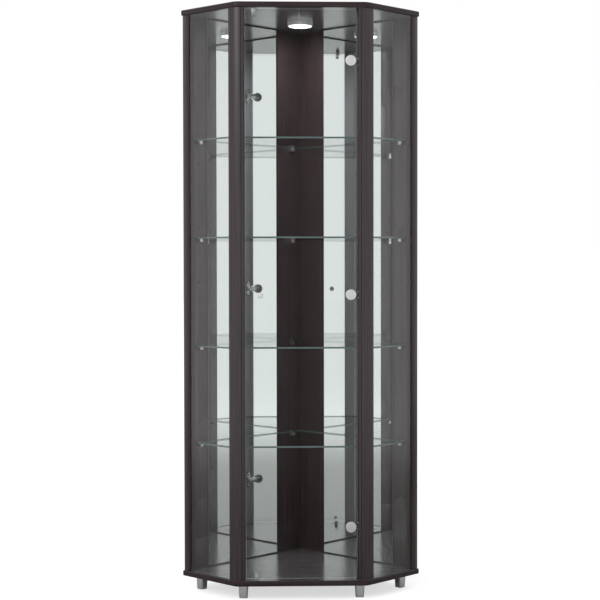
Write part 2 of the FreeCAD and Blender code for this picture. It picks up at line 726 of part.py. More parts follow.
def hinge_cup(z):
    """The cup in the glass, with its flange, ears and inner knuckle."""
    barrel = rod(point(CUP_X, DOOR_FRONT, z), BACK, CUP_RADIUS, DOOR_T)
    flange = rod(point(CUP_X, DOOR_BACK, z), BACK, CUP_FLANGE_RADIUS, CUP_FLANGE_T)
    cavity = rod(point(CUP_X, DOOR_FRONT + CUP_FLOOR, z), BACK, CUP_RADIUS - CUP_WALL,
                 DOOR_T + CUP_FLANGE_T)
    right = PIVOT_X - EYE_RADIUS - KNUCKLE_GAP
    floor = DOOR_FRONT + CUP_FLOOR
    knuckle = block((right - KNUCKLE_LENGTH, right), (floor, floor + KNUCKLE_DEPTH),
                    (z - KNUCKLE_HEIGHT / 2.0, z + KNUCKLE_HEIGHT / 2.0))
    cup = barrel.fuse(flange).cut(cavity)
    cup = cup.fuse([knuckle, hinge_ear(z, 1), hinge_ear(z, -1)])
    return cup.cut(hinge_pin(z)).removeSplitter()


def hinge_pin(z):
    length = EYE_HEIGHT + 2.0 * (EAR_GAP + EAR_T)
    return rod(point(PIVOT_X, PIVOT_Y, z - length / 2.0), UP, PIVOT_RADIUS, length)


# ---- door glass, knob and clips ---------------------------------------------
def door_glass():
    """A frameless pane, drilled for the hinge cups and the knob."""
    pane = block((-DOOR_X, DOOR_X), (DOOR_FRONT, DOOR_BACK), (DOOR_BOTTOM, DOOR_TOP))
    pane = pane.makeFillet(DOOR_CORNER_ROUND, edges_along(pane, BACK))
    knob_hole = rod(point(KNOB_X, DOOR_FRONT, KNOB_HEIGHT), BACK,
                    KNOB_SCREW_RADIUS + GLASS_HOLE_PLAY, DOOR_T)
    return cut_all(pane, [glass_hole(z) for z in HINGES.values()] + [knob_hole])


def knob_screw():
    """The screw and washer behind the glass that hold the knob."""
    washer = rod(point(KNOB_X, DOOR_BACK, KNOB_HEIGHT), BACK, KNOB_WASHER_RADIUS, KNOB_WASHER_T)
    head = facet_rod(point(KNOB_X, DOOR_BACK + KNOB_WASHER_T, KNOB_HEIGHT), BACK,
                     SCREW_HEAD_RADIUS, SCREW_HEAD_T)
    shank = facet_rod(point(KNOB_X, DOOR_FRONT - KNOB_SCREW_BITE, KNOB_HEIGHT), BACK,
                      KNOB_SCREW_RADIUS, KNOB_SCREW_BITE + DOOR_T + KNOB_WASHER_T)
    return washer.fuse([head, shank])


def door_knob():
    """A turned knob: round base, neck and a bevelled head."""
    base = rod(point(KNOB_X, DOOR_FRONT - KNOB_BASE_T, KNOB_HEIGHT), BACK,
               KNOB_BASE_RADIUS, KNOB_BASE_T)
    neck = rod(point(KNOB_X, KNOB_FRONT + KNOB_HEAD_LENGTH, KNOB_HEIGHT), BACK,
               KNOB_NECK_RADIUS, KNOB_LENGTH - KNOB_HEAD_LENGTH)
    head = rod(point(KNOB_X, KNOB_FRONT, KNOB_HEIGHT), BACK, KNOB_RADIUS, KNOB_HEAD_LENGTH)
    rims = edges_at_depth(head, KNOB_FRONT) + edges_at_depth(head, KNOB_FRONT + KNOB_HEAD_LENGTH)
    head = head.makeChamfer(KNOB_BEVEL, rims)
    return head.fuse([neck, base]).cut(knob_screw())


CATCH_X = {"top": CATCH_TOP_EDGE - DOOR_X, "bottom": CATCH_BOTTOM_EDGE - DOOR_X}
CATCH_EDGE = {"top": (DOOR_TOP, 1), "bottom": (DOOR_BOTTOM, -1)}
CATCH_SEAT = {"top": (CEILING_Z, -1), "bottom": (FLOOR_Z, 1)}
CLIP_BACK = DOOR_BACK + CLIP_T
CATCH_FRONT = CLIP_BACK + MAGNET_GAP + MAGNET_PROUD


def strike_clip(end):
    """A folded steel clip pushed over the glass edge for the magnet to hold."""
    edge, outward = CATCH_EDGE[end]
    low, high = sorted((edge - outward * CLIP_LEG, edge + outward * CLIP_T))
    half = CLIP_WIDTH / 2.0
    x = CATCH_X[end]
    clip = block((x - half, x + half), (DOOR_FRONT - CLIP_T, CLIP_BACK), (low, high))
    room = block((x - half, x + half), (DOOR_FRONT, DOOR_BACK), (DOOR_BOTTOM, DOOR_TOP))
    return clip.cut(room)


# ---- magnetic catches -------------------------------------------------------
def catch_screws(end):
    seat, inward = CATCH_SEAT[end]
    screws = []
    room = CATCH_LENGTH - MAGNET_LENGTH
    for share in CATCH_SCREW_SHARES:
        y = CATCH_FRONT + MAGNET_LENGTH + share * room
        start = point(CATCH_X[end], y, seat + inward * CATCH_HEIGHT)
        screws.append(screw(start, UP * -inward, (CATCH_SCREW_HEAD_RADIUS, SCREW_HEAD_T),
                            (CATCH_SCREW_RADIUS, CATCH_HEIGHT + CATCH_SCREW_BITE)))
    return screws


def catch_magnet(end):
    seat, inward = CATCH_SEAT[end]
    middle = seat + inward * CATCH_HEIGHT / 2.0
    half = MAGNET_WIDTH / 2.0
    x = CATCH_X[end]
    return block((x - half, x + half),
                 (CATCH_FRONT - MAGNET_PROUD, CATCH_FRONT - MAGNET_PROUD + MAGNET_LENGTH),
                 (middle - MAGNET_HEIGHT / 2.0, middle + MAGNET_HEIGHT / 2.0))


def catch_housing(end):
    """A long narrow moulded body with the magnet in its nose."""
    seat, inward = CATCH_SEAT[end]
    low, high = sorted((seat, seat + inward * CATCH_HEIGHT))
    half = CATCH_WIDTH / 2.0
    x = CATCH_X[end]
    body = block((x - half, x + half), (CATCH_FRONT, CATCH_FRONT + CATCH_LENGTH), (low, high))
    far = seat + inward * CATCH_HEIGHT
    body = body.makeChamfer(CATCH_BEVEL, level_edges(body, far))
    return cut_all(body, [catch_magnet(end)] + catch_screws(end))


# ---- writing out ------------------------------------------------------------
def pieces():
    made = {"top_panel": top_panel(), "bottom_panel": bottom_panel()}
    for name, side in SIDES.items():
        made["back_board_" + name] = back_board(side)
        made["mirror_" + name] = mirror_glass(side)
        made["wall_post_" + name] = wall_post(side)
        made["front_post_" + name] = front_post(side)
        made["side_glass_" + name] = side_glass(side)
    for number, step in enumerate(SHELF_STEPS, 1):
        made["shelf_%d" % number] = shelf(step)
        made["shelf_pins_%d" % number] = shelf_pins(step)
    for name in foot_places():
        made["foot_" + name] = foot(name)
    for name, z in HINGES.items():
        made["hinge_plate_" + name] = hinge_plate(z)
    for name, piece in (("arms", hinge_arm), ("cups", hinge_cup), ("caps", hinge_cap)):
        made["hinge_" + name] = group([piece(z) for z in HINGES.values()])
    for end in CATCH_X:
        made["catch_" + end] = catch_housing(end)
        made["strike_clip_" + end] = strike_clip(end)
    made["catch_magnets"] = group([catch_magnet(end) for end in CATCH_X])
    made["catch_screws"] = group(catch_screws("top") + catch_screws("bottom"))
    made["hinge_screws"] = group(hinge_plate_screws() + arm_screws())
    made["hinge_pins"] = group([hinge_pin(z) for z in HINGES.values()])
    made["door_glass"] = door_glass()
    made["door_knob"] = door_knob()
    made["knob_screw"] = knob_screw()
    made["lamp_housing"] = lamp_housing()
    made["lamp_board"] = lamp_board()
    made["lamp_lens"] = lamp_lens()
    made["lamp_screws"] = group(lamp_screws())
    made["foot_bolts"] = group(foot_bolts())
    made["foot_glides"] = group(foot_glides())
    made["top_panel_screws"] = group(TOP_SCREWS)
    made["bottom_panel_screws"] = group(BOTTOM_SCREWS)
    made["back_board_screws"] = group(BACK_SCREWS)
    return made


def main():
    os.makedirs("parts", exist_ok=True)
    for name, shape in pieces().items():
        shape.translate(point(0, -ORIGIN_Y))
        shape.exportStep("parts/%s.step" % name)


main()
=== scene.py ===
import json
import math

import bmesh
import bpy
from mathutils import Matrix, Vector


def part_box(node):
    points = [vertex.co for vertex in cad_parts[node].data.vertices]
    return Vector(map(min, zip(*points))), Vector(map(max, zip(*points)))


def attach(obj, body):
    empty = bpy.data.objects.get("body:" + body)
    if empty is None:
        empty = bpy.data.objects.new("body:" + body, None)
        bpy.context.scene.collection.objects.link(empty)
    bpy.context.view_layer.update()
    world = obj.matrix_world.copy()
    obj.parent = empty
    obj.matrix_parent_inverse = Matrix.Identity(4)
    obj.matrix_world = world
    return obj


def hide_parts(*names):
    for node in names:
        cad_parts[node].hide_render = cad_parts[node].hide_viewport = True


# Corner curio cabinet: finishes, glass, mirrors, fittings and the studio around it.
# Metres. X runs to the right, Y from the door to the room corner, Z up.

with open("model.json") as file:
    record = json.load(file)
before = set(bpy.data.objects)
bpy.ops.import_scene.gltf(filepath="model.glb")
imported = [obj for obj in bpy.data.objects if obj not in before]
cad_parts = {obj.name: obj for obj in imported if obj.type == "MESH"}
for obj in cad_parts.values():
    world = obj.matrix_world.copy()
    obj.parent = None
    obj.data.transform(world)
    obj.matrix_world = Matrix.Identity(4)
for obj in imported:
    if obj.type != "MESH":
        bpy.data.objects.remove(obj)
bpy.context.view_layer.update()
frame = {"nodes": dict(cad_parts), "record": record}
NODES = frame["nodes"]
MM = 0.001
SIDES = {"left": -1, "right": 1}
SHELVES = (1, 2, 3, 4)
HINGE_PLACES = ("bottom", "middle", "top")
CATCH_PLACES = ("top", "bottom")
SCREW_NODES = ("top_panel_screws", "bottom_panel_screws", "back_board_screws", "hinge_screws",
               "catch_screws", "lamp_screws")
RIGHT = Vector((1.0, 0.0, 0.0))
BACK = Vector((0.0, 1.0, 0.0))
FORWARD = Vector((0.0, -1.0, 0.0))
DOWN = Vector((0.0, 0.0, -1.0))
FRONT_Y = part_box("top_panel")[0].y
FLOOR_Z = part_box("bottom_panel")[1].z
CEILING_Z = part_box("top_panel")[0].z

# ---- mesh making --------------------------------------------------------------
ARC_STEP = math.radians(5.0)
SHARP = math.radians(30.0)   # an edge over this angle is eased, and shades as a sharp one
FLAT = math.radians(0.5)     # faces that meet under this angle become one
PARALLEL = 0.99              # least cosine of two directions that count as one
SAME_PLACE = 1e-6            # metres
TURNED_SIDES = 64
LAMP_SIDES = 96

# ---- edges, as widths in millimetres ------------------------------------------
DOOR_ARRIS = 1.2
SIDE_GLASS_ARRIS = 0.4
MIRROR_ARRIS = 0.6
SHELF_ARRIS = 0.6
TIMBER_EASE = 0.5
STRIP_EASE = 0.3
HINGE_EASE = 0.25
CATCH_EASE = 0.3
CLIP_EASE = 0.2
SUPPORT_EASE = 0.6
SUPPORT_EASE_STEPS = 3

# ---- front posts, in millimetres ----------------------------------------------
POST_FRONT = 4.0
POST_INNER_X = 163.6
POST_CORNER_X = 187.848
POST_T = 22.0
POST_LEG = 28.0
POST_ROUND = 40.0
POST_EASE = 0.6
POST_LINE_WIDTH = 1.4
POST_LINE_DEPTH = 1.2
POST_LINE_MEETS = 0.98       # where a line's side meets the round, as a share of its width
POST_TURN = math.radians(45.0)
POST_GROOVE_START = 1.8
POST_GROOVE_WIDTH = 4.4
POST_GROOVE_DEPTH = 6.2
POST_BACK_FACING = 0.6       # how squarely a face looks to the back, as a share of 1
STOP_WIDTH = 2.5             # the left post's lip behind the shut door
STOP_GAP = 0.5
STRIP_REACH = 6.2            # cover strip on the hinge post's back, past its edge
STRIP_HOLD = 6.0             # how far it lies on the post
STRIP_BACK = 1.2             # set back, so that the turning glass passes it
STRIP_T = 1.5
STRIP_CLEAR = 10.0           # left free above and below a hinge's middle

# ---- caps, knob, screws and glides --------------------------------------------
CAP_MIDDLE_FACING = 0.975    # how squarely a cap's dished middle faces forwards
KNOB_LENGTH = 22.0           # millimetres
REPEAT_SEED = 7
ROUND_SIDES = 32
SHANK_SIDES = 16
LEAST_FLATS = 5              # sides that the flat of a head has at least
SAME_LEVEL = 1e-4            # metres along a screw
SCREW_RISE = 0.04            # millimetres that a head stands proud
CROWN_SHARE = 0.86           # this and the next four are shares of the head's radius
RIM_SHARE = 0.9
SHANK_SHARE = 0.6
RECESS_LENGTH_SHARE = 1.15
RECESS_WIDTH_SHARE = 0.24
RECESS_DEPTH_SHARE = 0.6     # share of the head's thickness
GLIDE_BEVEL = 0.3            # millimetres

# ---- camera and studio, in metres and radians ---------------------------------
CAMERA_PLACE = Vector((-0.04485, -4.48566, 0.97361))
CAMERA_LENS = 89.214         # millimetres
CAMERA_SENSOR = 36.0         # millimetres
CAMERA_SHIFT = -0.05615      # sideways, as a share of the rendered width
CAMERA_YAW = -0.032283       # to the right
CAMERA_PITCH = 0.026615      # downwards
CAMERA_ROLL = 0.000914       # clockwise
KEY_PLACE = Vector((-2.6, -3.4, 3.2))
KEY_TARGET = Vector((0.0, 0.0, 0.9))
KEY_SIZE = (2.6, 2.6)
KEY_POWER = 56.0
WORLD_LIGHT = 0.62           # what matt surfaces receive
LAMP_POWER = 0.8
LAMP_GLOW_WIDTH = 62.0       # millimetres
LAMP_GLOW_DROP = 14.0        # millimetres
LENS_GLOW = 3.0
FLOOR_SIZE = 60.0
FLOOR_COLOUR = (0.80, 0.80, 0.80, 1.0)
FLOOR_REFLECTED = (0.60, 0.60, 0.60, 1.0)
FLOOR_LIFT = 0.62            # added where it is seen directly, so that it is white
FLOOR_FADE = (1.8, 4.6)      # metres from the cabinet, where reflections turn white

# ---- finishes -----------------------------------------------------------------
WHITE = (1.0, 1.0, 1.0, 1.0)
GRAIN_UPRIGHT = (300.0, 300.0, 7.0)
GRAIN_ACROSS = (7.0, 300.0, 300.0)
GRAIN_STOPS = (0.30, 0.52, 0.72)
PORE_SCALE = 3.4
GRAIN_BUMP = (0.03, 0.0002)  # strength, and depth in metres
METAL_BUMP = (0.08, 0.0001)
PLASTIC_BUMP = (0.05, 0.0001)
METAL_SPREAD = (0.75, 1.3)   # least and most, as shares of the roughness given
PLASTIC_SPREAD = (0.85, 1.15)
MIRROR_ROUGHNESS = 0.012
MOULDED_MARKS = (900.0, 900.0, 900.0)
BRUSHED_MARKS = (700.0, 700.0, 60.0)
CAST_MARKS = (300.0, 300.0, 300.0)
STEEL_MARKS = (600.0, 600.0, 600.0)
CLIP_MARKS = (500.0, 500.0, 500.0)
POST_TONES = ((0.0200, 0.0118, 0.0132, 1.0), (0.0310, 0.0195, 0.0215, 1.0),
              (0.0510, 0.0360, 0.0385, 1.0))
# the same wenge lightened for the back boards: painted light
BOARD_LIT_TONES = ((0.0340, 0.0205, 0.0212, 1.0), (0.0530, 0.0345, 0.0352, 1.0),
               (0.0850, 0.0605, 0.0620, 1.0))
# the same wenge lightened for the panels' inside faces: painted light from the lamp and the
# mirrors
INSIDE_LIT_TONES = ((0.0940, 0.0830, 0.0845, 1.0), (0.1460, 0.1320, 0.1330, 1.0),
                (0.2200, 0.2020, 0.2030, 1.0))
MIRROR_SILVER = (0.86, 0.88, 0.875, 1.0)
GLASS_TINT = (0.985, 0.992, 0.990, 1.0)
SHELF_TINT = (0.996, 0.999, 0.998, 1.0)
BOTH_FACES = 1.8             # a sheet's gloss, as a share of one face's
DOOR_BEND = 1.16             # index of refraction, which sets how much a pane reflects
SIDE_BEND = 1.45
SHELF_BEND = 1.05
GLASS_EDGE = (0.105, 0.165, 0.155, 1.0)
# light grey on the door glass's arris: a painted highlight of its polished edge
ARRIS_HIGHLIGHT_GREY = (0.60, 0.64, 0.67, 1.0)
SATIN_METAL = (0.665, 0.66, 0.665, 1.0)
DISH_METAL = (0.585, 0.585, 0.585, 1.0)
WASHER_GREY = (0.78, 0.79, 0.78, 1.0)
CATCH_GREY = (0.66, 0.67, 0.66, 1.0)
NICKEL = (0.56, 0.55, 0.54, 1.0)
ZINC = (0.74, 0.73, 0.71, 1.0)
STEEL = (0.52, 0.52, 0.52, 1.0)
CLIP_STEEL = (0.40, 0.41, 0.405, 1.0)
LENS_LIGHT = (0.93, 0.97, 1.0, 1.0)
# light grey on the back faces of the front posts and strips: painted light reflected from the
# mirrors
POST_BACK_PAINTED_LIGHT_GREY = (0.46, 0.435, 0.455, 1.0)
MAGNET_BLACK = (0.08, 0.08, 0.085, 1.0)
GLIDE_BLACK = (0.02, 0.02, 0.02, 1.0)
FROSTED = (0.9, 0.9, 0.9, 1.0)


# ---- node helpers -------------------------------------------------------------
class Shader:
    """A material under construction, with short ways to add and join nodes."""

    def __init__(self, name):
        self.material = bpy.data.materials.new(name)
        self.material.use_nodes = True
        self.tree = self.material.node_tree
        self.tree.nodes.clear()
        self.output = self.tree.nodes.new("ShaderNodeOutputMaterial")

    def add(self, kind, **settings):
        node = self.tree.nodes.new(kind)
        for key, value in settings.items():
            setattr(node, key, value)
        return node

    def join(self, source, target):
        self.tree.links.new(source, target)

    def coordinates(self, scale):
        """The piece's own coordinates, stretched."""
        place = self.add("ShaderNodeTexCoord")
        mapping = self.add("ShaderNodeMapping")
        mapping.inputs["Scale"].default_value = scale
        self.join(place.outputs["Object"], mapping.inputs["Vector"])
        return mapping.outputs["Vector"]

    def noise(self, vector, scale, detail, roughness=0.5):
        node = self.add("ShaderNodeTexNoise")
        node.inputs["Scale"].default_value = scale
        node.inputs["Detail"].default_value = detail
        node.inputs["Roughness"].default_value = roughness
        self.join(vector, node.inputs["Vector"])
        return node.outputs["Fac"]

    def ramp(self, value, stops):
        node = self.add("ShaderNodeValToRGB")
        elements = node.color_ramp.elements
        while len(elements) < len(stops):
            elements.new(0.5)
        for element, (position, colour) in zip(elements, stops):
            element.position = position
            element.color = colour
        self.join(value, node.inputs["Fac"])
        return node.outputs["Color"]

    def spread(self, value, low, high):
        """A 0 to 1 value mapped to a range."""
        node = self.add("ShaderNodeMapRange")
        node.inputs["To Min"].default_value = low
        node.inputs["To Max"].default_value = high
        self.join(value, node.inputs["Value"])
        return node.outputs["Result"]

    def bump(self, height, strength, distance):
        node = self.add("ShaderNodeBump")
        node.inputs["Strength"].default_value = strength
        node.inputs["Distance"].default_value = distance
        self.join(height, node.inputs["Height"])
        return node.outputs["Normal"]

    def principled(self, **values):
        node = self.add("ShaderNodeBsdfPrincipled")
        for key, value in values.items():
            node.inputs[key.replace("_", " ")].default_value = value
        return node

    def finish(self, shader):
        self.join(shader, self.output.inputs["Surface"])
        return self.material


# ---- materials ----------------------------------------------------------------
def wenge(name, scale, smooth, matt, gloss=0.5, tones=POST_TONES):
    """Dark wenge foil: long fine streaks with the grain and shallow pores; lighter tones given to
    it are painted light.
    """
    s = Shader(name)
    grain = s.coordinates(scale)
    streak = s.noise(grain, 1.0, detail=7.0, roughness=0.62)
    pore = s.noise(grain, PORE_SCALE, detail=3.0, roughness=0.7)
    colour = s.ramp(streak, list(zip(GRAIN_STOPS, tones)))
    surface = s.principled()
    surface.inputs["Specular IOR Level"].default_value = gloss
    s.join(colour, surface.inputs["Base Color"])
    s.join(s.spread(streak, smooth, matt), surface.inputs["Roughness"])
    s.join(s.bump(pore, *GRAIN_BUMP), surface.inputs["Normal"])
    return s.finish(surface.outputs["BSDF"])


def mirror():
    """Silvered glass, seen as its bright face."""
    s = Shader("silver_mirror")
    surface = s.principled(Base_Color=MIRROR_SILVER, Metallic=1.0, Roughness=MIRROR_ROUGHNESS)
    return s.finish(surface.outputs["BSDF"])


def clear_glass(name, bend, tint):
    """Clear sheet glass: see-through, with the gloss of both faces on the nearer one."""
    s = Shader(name)
    through = s.add("ShaderNodeBsdfTransparent")
    through.inputs["Color"].default_value = tint
    gloss = s.add("ShaderNodeBsdfGlossy")
    gloss.inputs["Roughness"].default_value = 0.0
    fresnel = s.add("ShaderNodeFresnel")
    fresnel.inputs["IOR"].default_value = bend
    outside = s.spread(s.add("ShaderNodeNewGeometry").outputs["Backfacing"], BOTH_FACES, 0.0)
    share = s.add("ShaderNodeMath", operation="MULTIPLY", use_clamp=True)
    s.join(fresnel.outputs["Fac"], share.inputs[0])
    s.join(outside, share.inputs[1])
    mix = s.add("ShaderNodeMixShader")
    s.join(share.outputs["Value"], mix.inputs[0])
    s.join(through.outputs["BSDF"], mix.inputs[1])
    s.join(gloss.outputs["BSDF"], mix.inputs[2])
    return s.finish(mix.outputs["Shader"])


def glass_edge(name, colour, roughness):
    """The look into the edge of a sheet of glass."""
    s = Shader(name)
    surface = s.principled(Base_Color=colour, Roughness=roughness)
    return s.finish(surface.outputs["BSDF"])


def metal(name, colour, roughness, scale, plated=1.0):
    """Plated metal with a fine brushed or cast variation."""
    s = Shader(name)
    marks = s.noise(s.coordinates(scale), 1.0, detail=5.0)
    surface = s.principled(Base_Color=colour, Metallic=plated)
    low, high = (roughness * share for share in METAL_SPREAD)
    s.join(s.spread(marks, low, high), surface.inputs["Roughness"])
    s.join(s.bump(marks, *METAL_BUMP), surface.inputs["Normal"])
    return s.finish(surface.outputs["BSDF"])


def plastic(name, colour, roughness):
    """Moulded plastic or foil with a fine even texture."""
    s = Shader(name)
    marks = s.noise(s.coordinates(MOULDED_MARKS), 1.0, detail=3.0)
    surface = s.principled(Base_Color=colour)
    low, high = (roughness * share for share in PLASTIC_SPREAD)
    s.join(s.spread(marks, low, high), surface.inputs["Roughness"])
    s.join(s.bump(marks, *PLASTIC_BUMP), surface.inputs["Normal"])
    return s.finish(surface.outputs["BSDF"])


def lit_lens():
    """Frosted lens with the lamp on."""
    s = Shader("lit_lens")
    surface = s.principled(Base_Color=FROSTED, Roughness=0.5)
    surface.inputs["Emission Color"].default_value = LENS_LIGHT
    surface.inputs["Emission Strength"].default_value = LENS_GLOW
    return s.finish(surface.outputs["BSDF"])


WENGE_UPRIGHT = wenge("wenge_upright", GRAIN_UPRIGHT, 0.20, 0.30)
WENGE_WALL_POST = wenge("wenge_wall_post", GRAIN_UPRIGHT, 0.24, 0.34, gloss=0.22)
WENGE_ACROSS = wenge("wenge_across", GRAIN_ACROSS, 0.20, 0.30)
# the panels' inside faces: wenge lightened as painted light
WENGE_INSIDE_PAINTED_LIGHT = wenge("wenge_inside_painted_light", GRAIN_ACROSS, 0.15, 0.25, gloss=0.8, tones=INSIDE_LIT_TONES)
WENGE_BOARD_PAINTED_LIGHT = wenge("wenge_board_painted_light", GRAIN_UPRIGHT, 0.20, 0.30, tones=BOARD_LIT_TONES)
WENGE_ROLLED = wenge("wenge_rolled_edge", GRAIN_ACROSS, 0.24, 0.34, gloss=0.22)
DOOR_GLASS = clear_glass("door_glass_face", DOOR_BEND, GLASS_TINT)
SIDE_GLASS = clear_glass("side_glass_face", SIDE_BEND, GLASS_TINT)
SHELF_GLASS = clear_glass("shelf_glass_face", SHELF_BEND, SHELF_TINT)
EDGE = glass_edge("glass_edge", GLASS_EDGE, 0.08)
# the door's arris: light grey as a painted highlight
ARRIS = glass_edge("glass_arris_painted_highlight", ARRIS_HIGHLIGHT_GREY, 0.15)
# painted light on the back faces of the posts and strips
POST_BACK_PAINTED_LIGHT = plastic("post_back_painted_light", POST_BACK_PAINTED_LIGHT_GREY, 0.30)
CAP_MIDDLE = metal("brushed_cap_middle", DISH_METAL, 0.36, MOULDED_MARKS)
CLEAR_WASHER = plastic("cap_washer_plastic", WASHER_GREY, 0.35)
FINISHES = {
    "wenge": WENGE_UPRIGHT,
    "mirror": mirror(),
    "clear_glass": SIDE_GLASS,
    "shelf_glass": SHELF_GLASS,
    "satin_metal": metal("satin_silver", SATIN_METAL, 0.30, BRUSHED_MARKS),
    "nickel": metal("bright_nickel", NICKEL, 0.20, CAST_MARKS, plated=0.92),
    "zinc": metal("bright_zinc", ZINC, 0.32, CAST_MARKS),
    "screw_steel": metal("screw_steel", STEEL, 0.30, STEEL_MARKS),
    "clip_steel": metal("dull_clip_steel", CLIP_STEEL, 0.42, CLIP_MARKS, plated=0.3),
    "magnet": plastic("magnet_ferrite", MAGNET_BLACK, 0.5),
    "grey_plastic": plastic("grey_plastic", CATCH_GREY, 0.4),
    "lens_plastic": lit_lens(),
    "glide_plastic": plastic("glide_plastic", GLIDE_BLACK, 0.6),
}


def dress_frame():
    """Gives every carried-over CAD node the finish of its slot."""
    for row in frame["record"]["subparts"]:
        node = NODES[row["node"]]
        finish = FINISHES[row["material_slot"]]
        for slot in node.material_slots:
            slot.material = finish


# ---- plan geometry ------------------------------------------------------------
def front_point(x, back):
    """Plan place from millimetres to the right and behind the panels' front edge."""
    return Vector((x * MM, FRONT_Y + back * MM, 0.0))


def arc(centre, start, end):
    """Points from start to end round a centre, both ends included."""
    a, b = start - centre, end - centre
    whole = a.angle(b)
    steps = max(2, math.ceil(whole / ARC_STEP))
    points = []
    for i in range(steps + 1):
        share = i / steps
        points.append(centre + (a * math.sin((1.0 - share) * whole) + b * math.sin(share * whole))
                      / math.sin(whole))
    return points


def rounded(corners):
    """An outline whose corners turn in arcs of the radii given with them, in millimetres."""
    outline = []
    for i, (corner, radius) in enumerate(corners):
        if radius == 0.0:
            outline.append(corner)
            continue
        before = (corners[i - 1][0] - corner).normalized()
        after = (corners[(i + 1) % len(corners)][0] - corner).normalized()
        half = before.angle(after) / 2.0
        centre = corner + (before + after).normalized() * (radius * MM / math.sin(half))
        reach = radius * MM / math.tan(half)
        outline += arc(centre, corner + before * reach, corner + after * reach)
    return outline


# ---- mesh helpers -------------------------------------------------------------
def upright(outline, low, high):
    """A closed solid over an outline; its face i ends at outline point i."""
    shape = bmesh.new()
    lower = [shape.verts.new((p.x, p.y, low)) for p in outline]
    upper = [shape.verts.new((p.x, p.y, high)) for p in outline]
    shape.faces.new(upper)
    shape.faces.new(lower[::-1])
    for i in range(len(outline)):
        shape.faces.new((lower[i - 1], lower[i], upper[i], upper[i - 1]))
    bmesh.ops.recalc_face_normals(shape, faces=shape.faces)
    return shape


def turned(profile, centre, axis, sides=TURNED_SIDES):
    """A turned solid from (radius, distance along the axis) pairs in millimetres."""
    shape = bmesh.new()
    place = Matrix.Translation(centre) @ axis.to_track_quat("Z", "X").to_matrix().to_4x4()
    rings = []
    for radius, height in profile:
        count = sides if radius > 0.0 else 1
        turns = [2.0 * math.pi * i / count for i in range(count)]
        rings.append([shape.verts.new(place @ Vector((radius * MM * math.cos(t),
                                                      radius * MM * math.sin(t), height * MM)))
                      for t in turns])
    for lower, upper in zip(rings, rings[1:]):
        for i in range(sides):
            ring = [lower[i % len(lower)], lower[(i + 1) % len(lower)],
                    upper[(i + 1) % len(upper)], upper[i % len(upper)]]
            shape.faces.new(list(dict.fromkeys(ring)))   # a point on the axis comes twice
    bmesh.ops.recalc_face_normals(shape, faces=shape.faces)
    return shape


def merge(into, shape):
    """Adds one bmesh to another and frees it."""
    mesh = bpy.data.meshes.new("merging")
    shape.to_mesh(mesh)
    shape.free()
    into.from_mesh(mesh)
    bpy.data.meshes.remove(mesh)


def profile_arc(centre, radius, start, end, steps=6):
    """Part of a profile: an arc by its centre, radius and two angles in degrees."""
    angles = [math.radians(start + (end - start) * i / steps) for i in range(steps + 1)]
    return [(centre[0] + radius * math.cos(a), centre[1] + radius * math.sin(a)) for a in angles]


def node_copy(node):
    """A node's mesh with its seams closed and its flat faces whole."""
    source = NODES[node].data
    shape = bmesh.new()
    corners = [shape.verts.new(v.co) for v in source.vertices]
    for polygon in source.polygons:
        shape.faces.new([corners[i] for i in polygon.vertices])
    bmesh.ops.remove_doubles(shape, verts=shape.verts, dist=SAME_PLACE)
    bmesh.ops.dissolve_limit(shape, angle_limit=FLAT, verts=shape.verts, edges=shape.edges)
    return shape


def solids_in(shape):
    """The points of each separate solid in a bmesh, in a fixed order."""
    solids, left = [], set(shape.verts)
    for first in shape.verts:
        if first not in left:
            continue
        left.remove(first)
        found, edge = [], [first]
        while edge:
            vert = edge.pop()
            found.append(vert)
            for other in (e.other_vert(vert) for e in vert.link_edges):
                if other in left:
                    left.remove(other)
                    edge.append(other)
        solids.append(found)
    return solids


def solid_boxes(node):
    """The low and high corner of each separate solid in a node, lowest solid first."""
    shape = node_copy(node)
    boxes = []
    for found in solids_in(shape):
        spots = [v.co for v in found]
        boxes.append((Vector(min(c[i] for c in spots) for i in range(3)),
                      Vector(max(c[i] for c in spots) for i in range(3))))
    shape.free()
    return sorted(boxes, key=lambda box: (box[0].z, box[0].x))


def ease_edges(shape, width, steps=2, material=-1):
    """Rounds or bevels every sharp edge."""
    sharp = [e for e in shape.edges if len(e.link_faces) == 2 and e.calc_face_angle() > SHARP]
    bmesh.ops.bevel(shape, geom=sharp, offset=width * MM, segments=steps, profile=0.5,
                    affect="EDGES", material=material, clamp_overlap=True)
    return shape


def new_piece(name, shape, materials, body, replaces=()):
    """Makes a bmesh a piece that rides on a body and stands for nodes."""
    mesh = bpy.data.meshes.new(name)
    shape.to_mesh(mesh)
    shape.free()
    mesh.polygons.foreach_set("use_smooth", [True] * len(mesh.polygons))
    mesh.set_sharp_from_angle(angle=SHARP)
    for material in materials:
        mesh.materials.append(material)
    piece = bpy.data.objects.new(name, mesh)
    bpy.context.scene.collection.objects.link(piece)
    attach(piece, body)
    if replaces:
        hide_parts(*replaces)


# ---- glass and mirrors --------------------------------------------------------
def sheet_of_glass(node, face_finish, body, arris, arris_finish=EDGE):
    """A pane or mirror whose two big faces and polished edges differ in finish."""
    shape = node_copy(node)
    shape.normal_update()
    main = max(shape.faces, key=lambda f: f.calc_area()).normal.copy()
    for face in shape.faces:
        face.material_index = 0 if abs(face.normal.dot(main)) > PARALLEL else 1
    ease_edges(shape, arris, steps=1, material=2)
    new_piece(node + "_sheet", shape, [face_finish, EDGE, arris_finish], body, [node])


def glass_and_mirrors():
    sheet_of_glass("door_glass", DOOR_GLASS, "door", DOOR_ARRIS, ARRIS)
    for side in SIDES:
        sheet_of_glass("side_glass_" + side, SIDE_GLASS, "case", SIDE_GLASS_ARRIS)
        sheet_of_glass("mirror_" + side, FINISHES["mirror"], "case", MIRROR_ARRIS)
    for number in SHELVES:
        sheet_of_glass("shelf_%d" % number, SHELF_GLASS, "case", SHELF_ARRIS)


